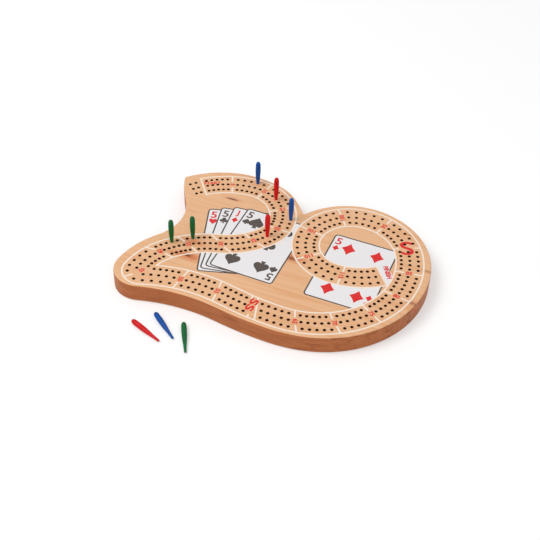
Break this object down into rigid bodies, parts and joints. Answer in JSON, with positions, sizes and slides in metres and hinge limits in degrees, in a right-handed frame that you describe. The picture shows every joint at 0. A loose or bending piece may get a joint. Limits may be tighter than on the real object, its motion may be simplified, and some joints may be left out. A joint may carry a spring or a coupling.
{
  "type": "cribbage board",
  "caption": "Flat wooden cribbage board in the outline of the number 29, with three winding rows of peg holes, tapered pegs and a peg store under a sliding cover.",
  "frame": {"origin": "on the underside, within a millimetre of the middle of the board's outline box", "axes": "+X the way the number is read, +Y up the figures, +Z out of the playing face"},
  "size_m": [0.2748, 0.2314, 0.046],
  "materials": {
    "wood": "satin lacquer",
    "brass": "satin",
    "blue_plastic": "gloss",
    "red_plastic": "gloss",
    "green_plastic": "gloss"
  },
  "bodies": {
    "board": {"board": "wood"},
    "store_cover": {"store_cover": "brass"},
    "blue_peg_front": {"blue_peg_front": "blue_plastic"},
    "blue_peg_back": {"blue_peg_back": "blue_plastic"},
    "red_peg_front": {"red_peg_front": "red_plastic"},
    "red_peg_back": {"red_peg_back": "red_plastic"},
    "green_peg_front": {"green_peg_front": "green_plastic"},
    "green_peg_back": {"green_peg_back": "green_plastic"},
    "blue_peg_spare": {"blue_peg_spare": "blue_plastic"},
    "red_peg_spare": {"red_peg_spare": "red_plastic"},
    "green_peg_spare": {"green_peg_spare": "green_plastic"}
  },
  "joints": [
    {"name": "cover_slide", "type": "slide", "parent": "board", "child": "store_cover", "axis": [-1, 0, 0], "range_m": [0, 0.058]},
    {"name": "blue_peg_front_lift", "type": "slide", "parent": "board", "child": "blue_peg_front", "axis": [0, 0, 1], "range_m": [0, 0.03]},
    {"name": "blue_peg_back_lift", "type": "slide", "parent": "board", "child": "blue_peg_back", "axis": [0, 0, 1], "range_m": [0, 0.03]},
    {"name": "red_peg_front_lift", "type": "slide", "parent": "board", "child": "red_peg_front", "axis": [0, 0, 1], "range_m": [0, 0.03]},
    {"name": "red_peg_back_lift", "type": "slide", "parent": "board", "child": "red_peg_back", "axis": [0, 0, 1], "range_m": [0, 0.03]},
    {"name": "green_peg_front_lift", "type": "slide", "parent": "board", "child": "green_peg_front", "axis": [0, 0, 1], "range_m": [0, 0.03]},
    {"name": "green_peg_back_lift", "type": "slide", "parent": "board", "child": "green_peg_back", "axis": [0, 0, 1], "range_m": [0, 0.03]},
    {"name": "blue_peg_spare_lift", "type": "slide", "parent": "board", "child": "blue_peg_spare", "axis": [0, 0, 1], "range_m": [0, 0.03]},
    {"name": "red_peg_spare_lift", "type": "slide", "parent": "board", "child": "red_peg_spare", "axis": [0, 0, 1], "range_m": [0, 0.03]},
    {"name": "green_peg_spare_lift", "type": "slide", "parent": "board", "child": "green_peg_spare", "axis": [0, 0, 1], "range_m": [0, 0.03]}
  ]
}
